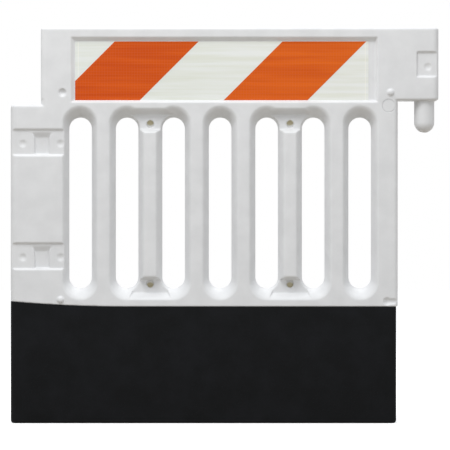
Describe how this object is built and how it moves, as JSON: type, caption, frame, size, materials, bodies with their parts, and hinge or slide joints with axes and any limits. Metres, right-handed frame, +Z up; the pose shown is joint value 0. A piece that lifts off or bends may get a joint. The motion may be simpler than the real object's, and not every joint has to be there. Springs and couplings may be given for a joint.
{
  "type": "interlocking pedestrian barricade panel",
  "caption": "White hollow barricade panel with seven slots, striped reflective sheeting on both faces, a hinge socket and hinge peg for chaining, and a black rubber boot.",
  "frame": {"origin": "on the ground, under the middle of the panel's length and thickness", "axes": "+X along the panel towards the arm with the peg, -Y is the front face, +Z up"},
  "size_m": [1.1, 0.0818, 1.016],
  "materials": {
    "white_hdpe": "blow-moulded, fine satin",
    "black_rubber": "recycled rubber, matte with faint flecks",
    "stainless_fasteners": "stainless, plain",
    "insert_brass": "turned",
    "seal_rubber": "nitrile, satin",
    "black_plastic": "moulded, satin",
    "white_sheeting": "prismatic reflective film, gloss",
    "orange_sheeting": "transparent orange over prismatic film, gloss"
  },
  "bodies": {
    "panel": {"panel_shell": "white_hdpe", "base_boot": "black_rubber", "boot_screws": "stainless_fasteners", "boot_washers": "stainless_fasteners", "threaded_inserts": "insert_brass", "sheeting_front": "white_sheeting", "sheeting_back": "white_sheeting", "orange_stripes_front": "orange_sheeting", "orange_stripes_back": "orange_sheeting"},
    "fill_stopper": {"fill_stopper": "white_hdpe", "fill_stopper_seal": "seal_rubber"},
    "drain_stopper": {"drain_stopper": "black_plastic", "drain_stopper_seal": "seal_rubber"}
  },
  "joints": [
    {"name": "fill_stopper_pull", "type": "slide", "parent": "panel", "child": "fill_stopper", "axis": [0, -1, 0], "range_m": [0, 0.022]},
    {"name": "drain_stopper_pull", "type": "slide", "parent": "panel", "child": "drain_stopper", "axis": [1, 0, 0], "range_m": [0, 0.022]}
  ]
}
